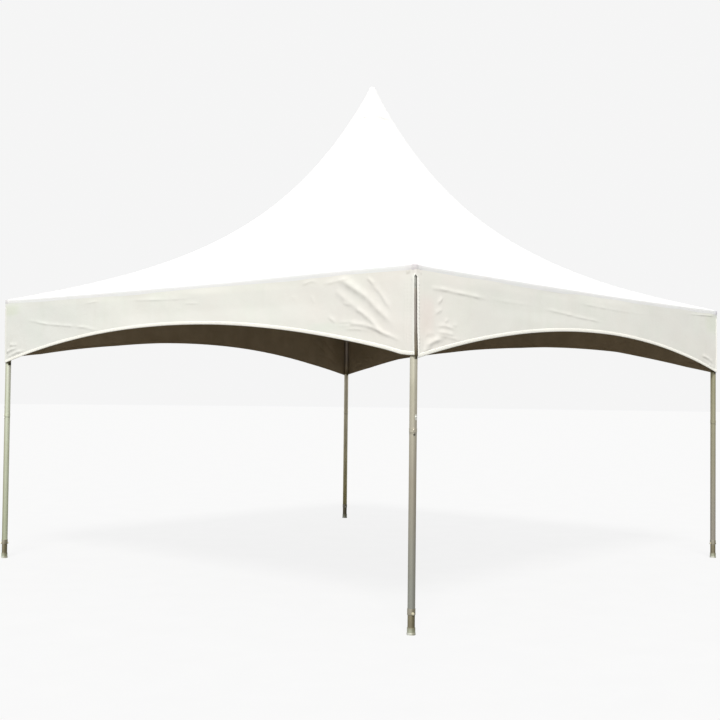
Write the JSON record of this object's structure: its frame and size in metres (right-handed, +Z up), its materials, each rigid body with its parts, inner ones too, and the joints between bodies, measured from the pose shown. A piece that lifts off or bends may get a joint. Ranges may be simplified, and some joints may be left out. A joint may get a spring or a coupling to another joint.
{
  "type": "marquee tent",
  "caption": "Square high-peak frame tent with a concave pointed canopy, arched valances, tube legs and eave beams, and a short centre mast on crossing cables.",
  "frame": {"origin": "on the ground at the centre of the plan, under the mast", "axes": "+Z up, +X and +Y along the sides, with the front side at -Y"},
  "size_m": [4.88, 4.88, 4.55],
  "materials": {
    "canopy_cloth": "white coated vinyl, satin",
    "valance_cloth": "off-white coated vinyl, satin, creased",
    "leg_tube": "mill aluminium, dull",
    "eave_tube": "mill aluminium, dull",
    "mast_tube": "mill aluminium, dull",
    "fitting_metal": "cast aluminium",
    "foot_steel": "weathered galvanised steel",
    "stay_cable": "galvanised wire rope"
  },
  "bodies": {
    "root": {"foot_front_left": "foot_steel", "foot_front_right": "foot_steel", "foot_back_right": "foot_steel", "foot_back_left": "foot_steel", "leg_lower_front_left": "leg_tube", "leg_lower_front_right": "leg_tube", "leg_lower_back_right": "leg_tube", "leg_lower_back_left": "leg_tube", "leg_upper_front_left": "leg_tube", "leg_upper_front_right": "leg_tube", "leg_upper_back_right": "leg_tube", "leg_upper_back_left": "leg_tube", "corner_fitting_front_left": "fitting_metal", "corner_fitting_front_right": "fitting_metal", "corner_fitting_back_right": "fitting_metal", "corner_fitting_back_left": "fitting_metal", "eave_beam_front_a": "eave_tube", "eave_beam_front_b": "eave_tube", "eave_splice_front": "fitting_metal", "eave_beam_right_a": "eave_tube", "eave_beam_right_b": "eave_tube", "eave_splice_right": "fitting_metal", "eave_beam_back_a": "eave_tube", "eave_beam_back_b": "eave_tube", "eave_splice_back": "fitting_metal", "eave_beam_left_a": "eave_tube", "eave_beam_left_b": "eave_tube", "eave_splice_left": "fitting_metal", "mast_hub": "fitting_metal", "centre_mast": "mast_tube", "mast_head": "fitting_metal", "stay_cable_front_left": "stay_cable", "stay_cable_front_right": "stay_cable", "stay_cable_back_right": "stay_cable", "stay_cable_back_left": "stay_cable", "canopy_panel_front": "canopy_cloth", "canopy_panel_right": "canopy_cloth", "canopy_panel_back": "canopy_cloth", "canopy_panel_left": "canopy_cloth", "peak_cap": "canopy_cloth", "valance_front": "valance_cloth", "valance_right": "valance_cloth", "valance_back": "valance_cloth", "valance_left": "valance_cloth"}
  },
  "joints": []
}
